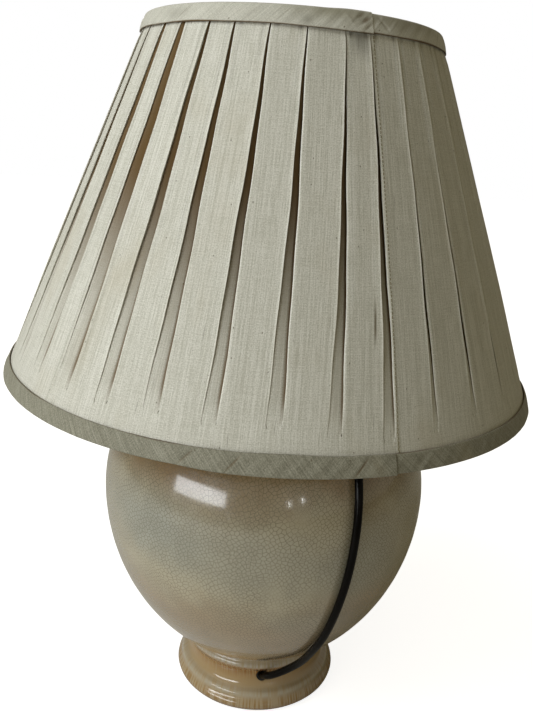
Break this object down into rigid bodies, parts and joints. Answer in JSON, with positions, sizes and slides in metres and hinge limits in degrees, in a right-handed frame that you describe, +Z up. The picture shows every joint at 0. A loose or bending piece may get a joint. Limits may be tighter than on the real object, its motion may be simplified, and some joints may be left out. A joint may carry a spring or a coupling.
{
  "type": "table lamp",
  "caption": "Table lamp with an ovoid crackle-glazed ceramic body on a waisted foot and a wide box-pleated silk empire shade.",
  "frame": {"origin": "middle of the felt under the foot, on the surface that the lamp stands on", "axes": "+Z up the axis of the ceramic body, -Y towards the side on which the flex leaves the foot and climbs the belly, +X to the right of it"},
  "size_m": [0.3998, 0.4, 0.5326],
  "materials": {
    "glazed_stoneware": "glossy cream glaze with dark crackle lines, stained brown in the foot's cove",
    "felt": "matt felt",
    "steel": "zinc plated",
    "brass": "satin, slightly aged",
    "screw_brass": "plain",
    "spring_steel": "bright wire",
    "rubber": "matt black",
    "fibre_washer": "pressed fibre",
    "insert_ceramic": "unglazed porcelain",
    "grip_nylon": "off-white nylon",
    "switch_bakelite": "dark brown",
    "flex_pvc": "olive-brown flexible PVC, shiny",
    "core_insulation": "brown PVC",
    "bulb_glass": "clear",
    "bulb_cap_metal": "satin",
    "black_insulator": "black glass-like insulator",
    "tungsten": "dark wire",
    "frame_wire": "off-white coated wire",
    "silk": "raw silk with upright slub threads, grey cream",
    "lining_fabric": "smooth cream lining",
    "binding_silk": "the same silk cut on the bias, greyer",
    "tie_pvc": "black",
    "plug_pvc": "dark moulded PVC",
    "pin_metal": "nickel plated"
  },
  "bodies": {
    "base": {"vase_body": "glazed_stoneware", "base_felt": "felt", "bottom_washer": "steel", "lock_washer": "steel", "bottom_nut": "brass", "threaded_rod": "steel", "cord_bush": "rubber", "neck_gasket": "fibre_washer", "neck_cap": "brass", "neck_nut": "brass", "holder_lower_shell": "brass", "holder_barrel": "brass", "holder_insert": "insert_ceramic", "terminal_screws": "screw_brass", "plunger_springs": "spring_steel", "shade_ring_nut": "brass", "cord_grip": "grip_nylon", "inner_flex": "flex_pvc", "flex_cores": "core_insulation", "cord_run": "flex_pvc", "cord_coil": "flex_pvc", "cord_tail": "flex_pvc", "coil_ties": "tie_pvc", "plug_relief": "plug_pvc", "plug_body": "plug_pvc", "plug_pins": "pin_metal"},
    "switch": {"switch_bar": "switch_bakelite", "switch_knobs": "switch_bakelite"},
    "bulb": {"bulb_glass": "bulb_glass", "bulb_cap": "bulb_cap_metal", "bulb_insulator": "black_insulator", "bulb_contacts": "bulb_cap_metal", "bulb_stem": "bulb_glass", "bulb_filament": "tungsten"},
    "plungers": {"contact_plungers": "screw_brass"},
    "shade_ring": {"gimbal_ring": "brass"},
    "shade": {"gimbal_arms": "frame_wire", "top_wire_ring": "frame_wire", "bottom_wire_ring": "frame_wire", "frame_struts": "frame_wire", "pleated_silk": "silk", "shade_lining": "lining_fabric", "top_binding": "binding_silk", "bottom_binding": "binding_silk"}
  },
  "joints": [
    {"name": "switch_push", "type": "slide", "parent": "base", "child": "switch", "axis": [1, 0, 0], "range_m": [-0.006, 0]},
    {"name": "bulb_press", "type": "slide", "parent": "base", "child": "bulb", "axis": [0, 0, 1], "range_m": [-0.002, 0], "stiffness_N_per_m": 2000, "springref_m": 0.002},
    {"name": "plunger_press", "type": "slide", "parent": "base", "child": "plungers", "axis": [0, 0, 1], "range_m": [-0.002, 0], "deforming": ["plunger_springs"]},
    {"name": "shade_turn", "type": "hinge", "parent": "base", "child": "shade_ring", "pos_m": [0, 0, 0.33572], "axis": [0, 0, 1], "continuous": true},
    {"name": "shade_tilt", "type": "hinge", "parent": "shade_ring", "child": "shade", "pos_m": [0, 0, 0.33572], "axis": [0, 1, 0], "range_deg": [-11.5, 8.5]}
  ],
  "couplings": [
    {"joint": "plunger_press", "follows": "bulb_press", "ratio": 1}
  ]
}
